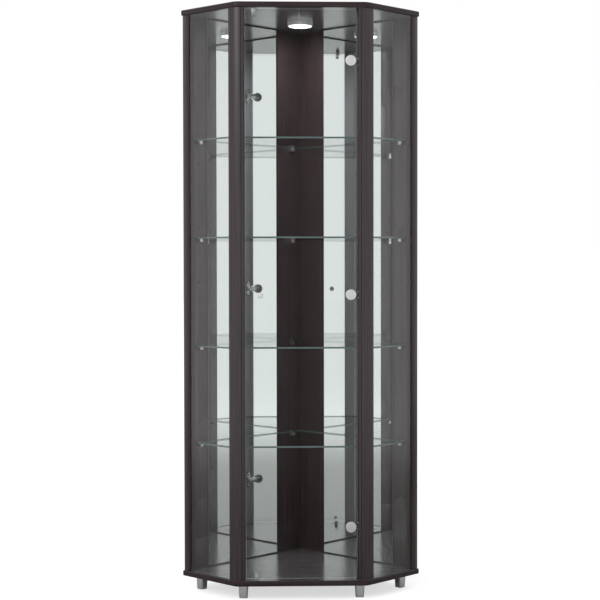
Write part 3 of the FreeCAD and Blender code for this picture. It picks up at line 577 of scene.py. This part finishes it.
# ---- front posts --------------------------------------------------------------
def rounded_opening_side():
    """The post's edge beside the door opening, from its back face to its front."""
    return rounded([(front_point(POST_INNER_X, POST_FRONT + POST_T), POST_EASE),
                    (front_point(POST_INNER_X, POST_FRONT), POST_EASE),
                    (front_point(POST_CORNER_X, POST_FRONT), 0.0)])[:-1]


def post_corners():
    """The right front post's section, from the door opening round to its back face."""
    corner = front_point(POST_CORNER_X, POST_FRONT)
    leg = Vector((1.0, 1.0, 0.0)).normalized()
    inward = Vector((-1.0, 1.0, 0.0)).normalized()
    tangent = POST_ROUND * math.tan(POST_TURN / 2.0) * MM
    line = POST_LINE_WIDTH / 2.0 * MM
    deep = POST_LINE_DEPTH * MM
    begin, finish = corner - RIGHT * tangent, corner + leg * tangent
    centre = begin + BACK * POST_ROUND * MM
    leg_end = corner + leg * POST_LEG * MM
    heel = leg_end + inward * POST_T * MM
    groove_out = leg_end + inward * POST_GROOVE_START * MM
    groove_in = groove_out + inward * POST_GROOVE_WIDTH * MM
    bite = leg * -POST_GROOVE_DEPTH * MM
    inner_back = front_point(POST_INNER_X, POST_FRONT + POST_T)
    outline = rounded_opening_side()
    outline += [begin - RIGHT * line, begin + BACK * deep]
    outline += arc(centre, begin + RIGHT * line * POST_LINE_MEETS,
                   finish - leg * line * POST_LINE_MEETS)
    outline += [finish + inward * deep, finish + leg * line]
    end = rounded([(finish, 0.0), (leg_end, POST_EASE), (groove_out, 0.0)])[1:-1]
    outline += end + [groove_out, groove_out + bite, groove_in + bite, groove_in]
    outline += rounded([(groove_in, 0.0), (heel, POST_EASE), (inner_back, 0.0)])[1:-1]
    return outline


def door_stop_corners():
    """The lip of the left post that closes the gap beside the shut door, drawn on the right."""
    shut = (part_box("door_glass")[1].y - FRONT_Y) / MM + STOP_GAP
    tip = POST_INNER_X - STOP_WIDTH
    lip = [(front_point(tip, POST_FRONT + POST_T), POST_EASE),
           (front_point(tip, shut), POST_EASE),
           (front_point(POST_INNER_X, shut), 0.0),
           (front_point(POST_INNER_X, POST_FRONT), POST_EASE),
           (front_point(POST_CORNER_X, POST_FRONT), 0.0)]
    return rounded(lip)[:-1]


def front_posts():
    right = post_corners()
    opening_side = rounded_opening_side()
    for side, way in SIDES.items():
        section = door_stop_corners() + right[len(opening_side):] if side == "left" else right
        outline = [Vector((way * p.x, p.y, 0.0)) for p in section]
        shape = upright(outline, FLOOR_Z, CEILING_Z)
        shape.normal_update()
        # faces towards the back get a light grey: painted light from the mirrors
        for face in shape.faces:
            if face.normal.y > POST_BACK_FACING and abs(face.normal.z) < POST_BACK_FACING:
                face.material_index = 1
        new_piece("front_post_%s_moulding" % side, shape, [WENGE_UPRIGHT, POST_BACK_PAINTED_LIGHT], "case",
                  ["front_post_" + side])


def cover_strips():
    """Flat strips on the hinge post's back that close the gap beside the door."""
    front = POST_FRONT + POST_T + STRIP_BACK
    y = FRONT_Y + front * MM
    back = y + STRIP_T * MM
    left = (POST_INNER_X - STRIP_REACH) * MM
    right = (POST_INNER_X + STRIP_HOLD) * MM
    plan = [Vector(spot) for spot in ((left, y, 0.0), (right, y, 0.0),
                                      (right, back, 0.0), (left, back, 0.0))]
    levels = [FLOOR_Z]
    for low, high in solid_boxes("hinge_caps"):
        middle = (low.z + high.z) / 2.0
        levels += [middle - STRIP_CLEAR * MM, middle + STRIP_CLEAR * MM]
    levels.append(CEILING_Z)
    strips = bmesh.new()
    for start, stop in zip(levels[::2], levels[1::2]):
        merge(strips, ease_edges(upright(plan, start, stop), STRIP_EASE))
    strips.normal_update()
    # faces towards the back get the same light grey: painted light from the mirrors
    for face in strips.faces:
        face.material_index = 1 if face.normal.y > POST_BACK_FACING else 0
    new_piece("hinge_side_strips", strips, [WENGE_UPRIGHT, POST_BACK_PAINTED_LIGHT], "case")


# ---- eased timber parts -------------------------------------------------------
def boards():
    """Boards and square posts with softly broken edges; the back boards get a lighter wenge as
    painted light.
    """
    for side in SIDES:
        # the back boards take the lighter wenge, which is painted light
        for node, finish in (("back_board_", WENGE_BOARD_PAINTED_LIGHT), ("wall_post_", WENGE_WALL_POST)):
            shape = ease_edges(node_copy(node + side), TIMBER_EASE)
            new_piece(node + side + "_eased", shape, [finish], "case", [node + side])


def panels():
    """Top and bottom panel: foil-covered faces and rolled edges; the inside faces get a lighter
    wenge, painted light from the lamp and the mirrors.
    """
    for node, inward in (("top_panel", -1.0), ("bottom_panel", 1.0)):
        shape = node_copy(node)
        shape.normal_update()
        for face in shape.faces:
            level = face.normal.z * inward
            face.material_index = 0 if level > PARALLEL else 1 if level < -PARALLEL else 2
        new_piece(node + "_rolled", shape, [WENGE_INSIDE_PAINTED_LIGHT, WENGE_ACROSS, WENGE_ROLLED], "case",
                  [node])


# ---- door fittings ------------------------------------------------------------
def rear_middle(box):
    """The middle of a round fitting's rear plane, on the door glass."""
    low, high = box
    return Vector(((low.x + high.x) / 2.0, high.y, (low.z + high.z) / 2.0))


def hinge_caps():
    """Round caps with a rolled rim, a dished middle and a washer behind."""
    washer = [(0.0, 0.0), (15.1, 0.0), (15.4, 0.25)]
    rim = profile_arc((13.7, 1.15), 1.75, 0, 78) + [(12.6, 2.95)]
    dish = [(11.8, 2.70), (11.0, 2.78), (5.5, 2.92), (0.0, 2.96)]
    covers = bmesh.new()
    for box in solid_boxes("hinge_caps"):
        merge(covers, turned(washer + rim + dish, rear_middle(box), FORWARD))
    covers.normal_update()
    for face in covers.faces:
        level = face.normal.dot(FORWARD)
        face.material_index = 1 if level > CAP_MIDDLE_FACING else 2 if level < -PARALLEL else 0
    new_piece("hinge_cap_covers", covers, [FINISHES["satin_metal"], CAP_MIDDLE, CLEAR_WASHER],
              "door", ["hinge_caps"])


def door_knob():
    """A turned knob: foot, neck and a rounded grip."""
    foot = [(0.0, 0.0), (5.7, 0.0), (6.0, 0.3), (6.0, 1.0), (5.6, 1.45), (4.4, 1.7)]
    neck = [(4.0, 2.6), (3.9, 6.0), (4.0, 8.8), (4.6, 10.0)]
    grip = profile_arc((6.0, 12.0), 2.0, -80, 0) + [(8.0, 12.3)]
    grip += profile_arc((5.8, KNOB_LENGTH - 2.2), 2.2, 0, 84)
    end = [(5.0, KNOB_LENGTH - 0.15), (0.0, KNOB_LENGTH)]
    shape = turned(foot + neck + grip + end, rear_middle(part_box("door_knob")), FORWARD)
    new_piece("door_knob_turned", shape, [FINISHES["satin_metal"]], "door",
              ["door_knob"])


def hinge_parts():
    """Pressed arms, cups and plates with broken edges."""
    parts = [("hinge_cups", "door"), ("hinge_arms", "case")]
    parts += [("hinge_plate_" + place, "case") for place in HINGE_PLACES]
    for node, body in parts:
        new_piece(node + "_pressed", ease_edges(node_copy(node), HINGE_EASE),
                  [FINISHES["nickel"]], body, [node])


def catches():
    """Moulded catches on the case and folded strike clips on the door glass."""
    for end in CATCH_PLACES:
        catch, clip = "catch_" + end, "strike_clip_" + end
        new_piece(catch + "_moulded", ease_edges(node_copy(catch), CATCH_EASE),
                  [FINISHES["grey_plastic"]], "case", [catch])
        new_piece(clip + "_folded", ease_edges(node_copy(clip), CLIP_EASE),
                  [FINISHES["clip_steel"]], "door", [clip])


# ---- shelf supports -----------------------------------------------------------
def shelf_supports():
    for number in SHELVES:
        node = "shelf_pins_%d" % number
        shape = ease_edges(node_copy(node), SUPPORT_EASE, SUPPORT_EASE_STEPS)
        new_piece(node + "_cast", shape, [FINISHES["zinc"]], "case", [node])


# ---- screws and glides --------------------------------------------------------
class Repeat:
    """A Geometry Nodes tree that sets one shape at every place, turned outwards."""

    def __init__(self, name, sizes):
        self.tree = bpy.data.node_groups.new(name, "GeometryNodeTree")
        sockets = self.tree.interface
        sockets.new_socket("Places", in_out="INPUT", socket_type="NodeSocketGeometry")
        kinds = [(size, "NodeSocketFloat") for size in sizes]
        kinds += [("Seed", "NodeSocketInt"), ("Finish", "NodeSocketMaterial")]
        self.keys = {label: sockets.new_socket(label, in_out="INPUT", socket_type=kind).identifier
                     for label, kind in kinds}
        sockets.new_socket("Pieces", in_out="OUTPUT", socket_type="NodeSocketGeometry")
        self.inputs = self.tree.nodes.new("NodeGroupInput").outputs

    def add(self, kind, sockets=None, **settings):
        """A node; its sockets take a number, a vector or another node's output."""
        node = self.tree.nodes.new(kind)
        for key, value in settings.items():
            setattr(node, key, value)
        for key, value in (sockets or {}).items():
            if isinstance(value, bpy.types.NodeSocket):
                self.tree.links.new(value, node.inputs[key])
            else:
                node.inputs[key].default_value = value
        return node

    def calc(self, operation, first, second):
        return self.add("ShaderNodeMath", {0: first, 1: second}, operation=operation).outputs[0]

    def vector(self, x, y, z):
        return self.add("ShaderNodeCombineXYZ", {"X": x, "Y": y, "Z": z}).outputs[0]

    def rod(self, radius, length, top, sides=ROUND_SIDES, tip=None):
        """A round bar that ends at a height and runs down from it."""
        made = self.add("GeometryNodeMeshCone",
                        {"Vertices": sides, "Radius Top": radius,
                         "Radius Bottom": radius if tip is None else tip, "Depth": length})
        drop = self.calc("SUBTRACT", top, length)
        return self.moved(made.outputs["Mesh"], drop)

    def bar(self, length, width, depth, top):
        """A flat bar sunk from a height."""
        made = self.add("GeometryNodeMeshCube", {"Size": self.vector(length, width, depth)})
        return self.moved(made.outputs["Mesh"], top)

    def moved(self, mesh, height):
        return self.add("GeometryNodeTransform", {"Geometry": mesh,
                        "Translation": self.vector(0.0, 0.0, height)}).outputs["Geometry"]

    def joined(self, *meshes):
        node = self.add("GeometryNodeJoinGeometry")
        for mesh in meshes:
            self.tree.links.new(mesh, node.inputs["Geometry"])
        return node.outputs["Geometry"]

    def cut(self, mesh, *tools):
        node = self.add("GeometryNodeMeshBoolean", operation="DIFFERENCE", solver="EXACT")
        self.tree.links.new(mesh, node.inputs["Mesh 1"])
        for tool in tools:
            self.tree.links.new(tool, node.inputs["Mesh 2"])
        return node.outputs["Mesh"]

    def end(self, shape):
        """Sets the shape at the places, each with a turn of its own, and ends the tree."""
        outward = self.add("GeometryNodeInputNamedAttribute", {"Name": "outward"},
                           data_type="FLOAT_VECTOR").outputs["Attribute"]
        facing = self.add("FunctionNodeAlignRotationToVector", {"Vector": outward}, axis="Z")
        chance = self.add("FunctionNodeRandomValue", {"Seed": self.inputs["Seed"]},
                          data_type="FLOAT")
        angle = self.calc("MULTIPLY", chance.outputs[1], 2.0 * math.pi)
        spin = self.add("FunctionNodeAxisAngleToRotation",
                        {"Axis": (0.0, 0.0, 1.0), "Angle": angle})
        turn = self.add("FunctionNodeRotateRotation", {"Rotation": facing.outputs[0],
                        "Rotate By": spin.outputs[0]}, rotation_space="LOCAL")
        placed = self.add("GeometryNodeInstanceOnPoints", {"Points": self.inputs["Places"],
                          "Instance": shape, "Rotation": turn.outputs[0]})
        real = self.add("GeometryNodeRealizeInstances", {"Geometry": placed.outputs[0]})
        made = self.add("GeometryNodeSetMaterial", {"Geometry": real.outputs[0],
                        "Material": self.inputs["Finish"]})
        self.tree.links.new(made.outputs[0], self.tree.nodes.new("NodeGroupOutput").inputs[0])
        return self

    def grow(self, places, sizes, finish):
        """A plain mesh of the shape at (point, outward direction) places."""
        mesh = bpy.data.meshes.new("places")
        mesh.from_pydata([place for place, _ in places], [], [])
        outward = mesh.attributes.new("outward", "FLOAT_VECTOR", "POINT")
        outward.data.foreach_set("vector", [part for _, way in places for part in way])
        carrier = bpy.data.objects.new("places", mesh)
        bpy.context.scene.collection.objects.link(carrier)
        modifier = carrier.modifiers.new("repeat", "NODES")
        modifier.node_group = self.tree
        for label, value in {**sizes, "Seed": REPEAT_SEED, "Finish": finish}.items():
            modifier[self.keys[label]] = value
        whole = carrier.evaluated_get(bpy.context.evaluated_depsgraph_get())
        made = bpy.data.meshes.new_from_object(whole)
        bpy.data.objects.remove(carrier)
        bpy.data.meshes.remove(mesh)
        return made


def cross_screw():
    """A low round head with a cross recess, and its shank."""
    r = Repeat("cross_screw", ["Head Radius", "Head Thickness", "Head Rise", "Shank Radius",
                               "Length", "Recess Length", "Recess Width", "Recess Depth"])
    head, rise = r.inputs["Head Radius"], r.inputs["Head Rise"]
    crown = r.rod(r.calc("MULTIPLY", head, CROWN_SHARE), rise, rise, tip=head)
    disc = r.rod(head, r.inputs["Head Thickness"], 0.0)
    shank_top = r.calc("MULTIPLY", r.inputs["Head Thickness"], -0.5)
    shank_run = r.calc("ADD", r.inputs["Length"], shank_top)
    shank = r.rod(r.inputs["Shank Radius"], shank_run, shank_top, sides=SHANK_SIDES)
    sizes = [r.inputs["Recess Length"], r.inputs["Recess Width"]]
    depth = r.calc("MULTIPLY", r.inputs["Recess Depth"], 2.0)
    slots = [r.bar(*order, depth, rise) for order in (sizes, sizes[::-1])]
    solid = r.add("GeometryNodeMeshBoolean", operation="UNION", solver="EXACT")
    for part in (crown, disc, shank):
        r.tree.links.new(part, solid.inputs["Mesh 2"])
    return r.end(r.cut(solid.outputs["Mesh"], *slots))


def round_glide():
    """A felt or plastic disc whose lower edge is broken."""
    r = Repeat("round_glide", ["Radius", "Thickness", "Bevel"])
    bevel = r.inputs["Bevel"]
    rest = r.calc("SUBTRACT", r.inputs["Thickness"], bevel)
    pad = r.rod(r.inputs["Radius"], rest, r.calc("MULTIPLY", bevel, -1.0))
    lip = r.rod(r.calc("SUBTRACT", r.inputs["Radius"], bevel), bevel, 0.0, tip=r.inputs["Radius"])
    return r.end(r.joined(pad, lip))


def screws_in(node):
    """Each screw of a node: its head's middle, outward direction and measured sizes."""
    shape = node_copy(node)
    shape.normal_update()
    found = []
    for solid in solids_in(shape):
        faces = {f for v in solid for f in v.link_faces if len(f.verts) >= LEAST_FLATS}
        cap = max(faces, key=lambda f: f.calc_area())
        middle, way = cap.calc_center_median(), cap.normal.copy()
        depths = [(middle - v.co).dot(way) for v in solid]
        across = [((v.co - middle) - way * (v.co - middle).dot(way)).length for v in solid]
        head, length = max(across), max(depths)
        thick = max(d for d, a in zip(depths, across) if a > head * RIM_SHARE)
        shank = max(a for d, a in zip(depths, across) if d > length - SAME_LEVEL)
        found.append(((middle, way), tuple(round(v, 6) for v in (head, thick, shank, length))))
    shape.free()
    return found


def screws():
    """Cross-recess screws in place of the plain ones."""
    tree = cross_screw()
    for node in SCREW_NODES:
        sorts = {}
        for place, sizes in screws_in(node):
            sorts.setdefault(sizes, []).append(place)
        whole = bmesh.new()
        for (head, thick, shank, length), places in sorts.items():
            mesh = tree.grow(places, {
                "Head Radius": head, "Head Thickness": thick, "Head Rise": SCREW_RISE * MM,
                "Shank Radius": min(shank, head * SHANK_SHARE), "Length": length,
                "Recess Length": head * RECESS_LENGTH_SHARE,
                "Recess Width": head * RECESS_WIDTH_SHARE,
                "Recess Depth": thick * RECESS_DEPTH_SHARE}, FINISHES["screw_steel"])
            whole.from_mesh(mesh)
            bpy.data.meshes.remove(mesh)
        new_piece(node + "_cross_head", whole, [FINISHES["screw_steel"]], "case",
                  [node])


def glides():
    """Round glides under the feet."""
    boxes = solid_boxes("foot_glides")
    places = [(Vector(((low.x + high.x) / 2.0, (low.y + high.y) / 2.0, low.z)), DOWN)
              for low, high in boxes]
    low, high = boxes[0]
    mesh = round_glide().grow(places, {"Radius": (high.x - low.x) / 2.0,
                                       "Thickness": high.z - low.z, "Bevel": GLIDE_BEVEL * MM},
                              FINISHES["glide_plastic"])
    whole = bmesh.new()
    whole.from_mesh(mesh)
    bpy.data.meshes.remove(mesh)
    new_piece("foot_glides_round", whole, [FINISHES["glide_plastic"]], "case",
              ["foot_glides"])


# ---- lamp ---------------------------------------------------------------------
def lamp():
    """Turned housing, frosted lens and the light that it gives."""
    low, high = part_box("lamp_housing")
    seat = Vector(((low.x + high.x) / 2.0, (low.y + high.y) / 2.0, high.z))
    housing = [(0.0, 0.0), (37.6, 0.0), (38.0, 0.4), (38.0, 9.6)]
    housing += profile_arc((36.0, 10.0), 2.0, 0, 90)
    housing += [(34.6, 12.0), (34.2, 11.7), (34.05, 9.5), (0.0, 9.5)]
    new_piece("lamp_housing_spun", turned(housing, seat, DOWN, LAMP_SIDES),
              [FINISHES["satin_metal"]], "case", ["lamp_housing"])
    lens = [(0.0, 9.6), (34.0, 9.6), (34.0, 12.0)]
    lens += profile_arc((32.8, 12.0), 1.2, 0, 80)
    lens += [(31.0, 13.15), (0.0, 13.2)]
    new_piece("lamp_lens_frosted", turned(lens, seat, DOWN, LAMP_SIDES),
              [FINISHES["lens_plastic"]], "case", ["lamp_lens"])
    glow = bpy.data.lights.new("lamp_glow", "AREA")
    glow.shape = "DISK"
    glow.size = LAMP_GLOW_WIDTH * MM
    glow.energy = LAMP_POWER
    glow.color = LENS_LIGHT[:3]
    lamp_light = bpy.data.objects.new("lamp_glow", glow)
    lamp_light.location = seat + DOWN * LAMP_GLOW_DROP * MM
    lamp_light.visible_camera = False
    lamp_light.visible_glossy = False
    bpy.context.scene.collection.objects.link(lamp_light)


# ---- studio -------------------------------------------------------------------
def seen_directly(tree):
    """1 for the rays that show a background: camera, glossy and transmission rays."""
    path = tree.nodes.new("ShaderNodeLightPath")
    total = path.outputs["Is Camera Ray"]
    for name in ("Is Glossy Ray", "Is Transmission Ray"):
        either = tree.nodes.new("ShaderNodeMath")
        either.operation = "MAXIMUM"
        tree.links.new(total, either.inputs[0])
        tree.links.new(path.outputs[name], either.inputs[1])
        total = either.outputs["Value"]
    return total


def studio_world():
    """Even light on the object and plain white behind it."""
    world = bpy.data.worlds.new("studio")
    world.use_nodes = True
    tree = world.node_tree
    tree.nodes.clear()
    light = tree.nodes.new("ShaderNodeBackground")
    light.inputs["Strength"].default_value = WORLD_LIGHT
    white = tree.nodes.new("ShaderNodeBackground")
    for background in (light, white):
        background.inputs["Color"].default_value = WHITE
    mix = tree.nodes.new("ShaderNodeMixShader")
    tree.links.new(seen_directly(tree), mix.inputs[0])
    tree.links.new(light.outputs["Background"], mix.inputs[1])
    tree.links.new(white.outputs["Background"], mix.inputs[2])
    output = tree.nodes.new("ShaderNodeOutputWorld")
    tree.links.new(mix.outputs["Shader"], output.inputs["Surface"])
    bpy.context.scene.world = world


def floor_finish():
    """Pale and matt: white to the camera where it is unshaded, and far off in reflections."""
    s = Shader("studio_floor")
    matt = s.add("ShaderNodeBsdfDiffuse")
    path = s.add("ShaderNodeLightPath")
    tone = s.add("ShaderNodeMix", data_type="RGBA")
    tone.inputs["A"].default_value = FLOOR_COLOUR
    tone.inputs["B"].default_value = FLOOR_REFLECTED
    s.join(path.outputs["Is Glossy Ray"], tone.inputs["Factor"])
    s.join(tone.outputs["Result"], matt.inputs["Color"])
    distance = s.add("ShaderNodeVectorMath", operation="LENGTH")
    s.join(s.coordinates((1.0, 1.0, 1.0)), distance.inputs[0])
    away = s.add("ShaderNodeMapRange", interpolation_type="SMOOTHSTEP")
    away.inputs["From Min"].default_value, away.inputs["From Max"].default_value = FLOOR_FADE
    s.join(distance.outputs["Value"], away.inputs["Value"])
    reflected = s.add("ShaderNodeMath", operation="MULTIPLY")
    s.join(path.outputs["Is Glossy Ray"], reflected.inputs[0])
    s.join(away.outputs["Result"], reflected.inputs[1])
    seen = s.add("ShaderNodeMath", operation="MAXIMUM")
    s.join(path.outputs["Is Camera Ray"], seen.inputs[0])
    s.join(reflected.outputs["Value"], seen.inputs[1])
    lift = s.add("ShaderNodeEmission")
    lift.inputs["Color"].default_value = WHITE
    s.join(s.spread(seen.outputs["Value"], 0.0, FLOOR_LIFT), lift.inputs["Strength"])
    total = s.add("ShaderNodeAddShader")
    s.join(matt.outputs["BSDF"], total.inputs[0])
    s.join(lift.outputs["Emission"], total.inputs[1])
    return s.finish(total.outputs["Shader"])


def floor():
    shape = bmesh.new()
    bmesh.ops.create_grid(shape, x_segments=1, y_segments=1, size=FLOOR_SIZE / 2.0)
    mesh = bpy.data.meshes.new("studio_floor")
    shape.to_mesh(mesh)
    shape.free()
    mesh.materials.append(floor_finish())
    ground = bpy.data.objects.new("studio_floor", mesh)
    bpy.context.scene.collection.objects.link(ground)


def key_light():
    """One large soft light from the left, above and in front."""
    data = bpy.data.lights.new("key_light", "AREA")
    data.shape = "RECTANGLE"
    data.size, data.size_y = KEY_SIZE
    data.energy = KEY_POWER
    softbox = bpy.data.objects.new("key_light", data)
    facing = (KEY_PLACE - KEY_TARGET).to_track_quat("Z", "Y").to_matrix().to_4x4()
    softbox.matrix_world = Matrix.Translation(KEY_PLACE) @ facing
    bpy.context.scene.collection.objects.link(softbox)


def camera():
    data = bpy.data.cameras.new("camera")
    data.lens = CAMERA_LENS
    data.sensor_width = CAMERA_SENSOR
    data.shift_x = CAMERA_SHIFT
    eye = bpy.data.objects.new("camera", data)
    turn = (Matrix.Rotation(CAMERA_YAW, 4, "Z") @ Matrix.Rotation(-CAMERA_PITCH, 4, "X")
            @ Matrix.Rotation(CAMERA_ROLL, 4, "Y"))
    eye.matrix_world = (Matrix.Translation(CAMERA_PLACE) @ turn
                        @ Matrix.Rotation(math.pi / 2.0, 4, "X"))
    bpy.context.scene.collection.objects.link(eye)
    bpy.context.scene.camera = eye


dress_frame()
glass_and_mirrors()
front_posts()
cover_strips()
boards()
panels()
hinge_caps()
door_knob()
hinge_parts()
catches()
shelf_supports()
screws()
glides()
lamp()
studio_world()
floor()
key_light()
camera()
bpy.context.scene.view_settings.view_transform = "Standard"
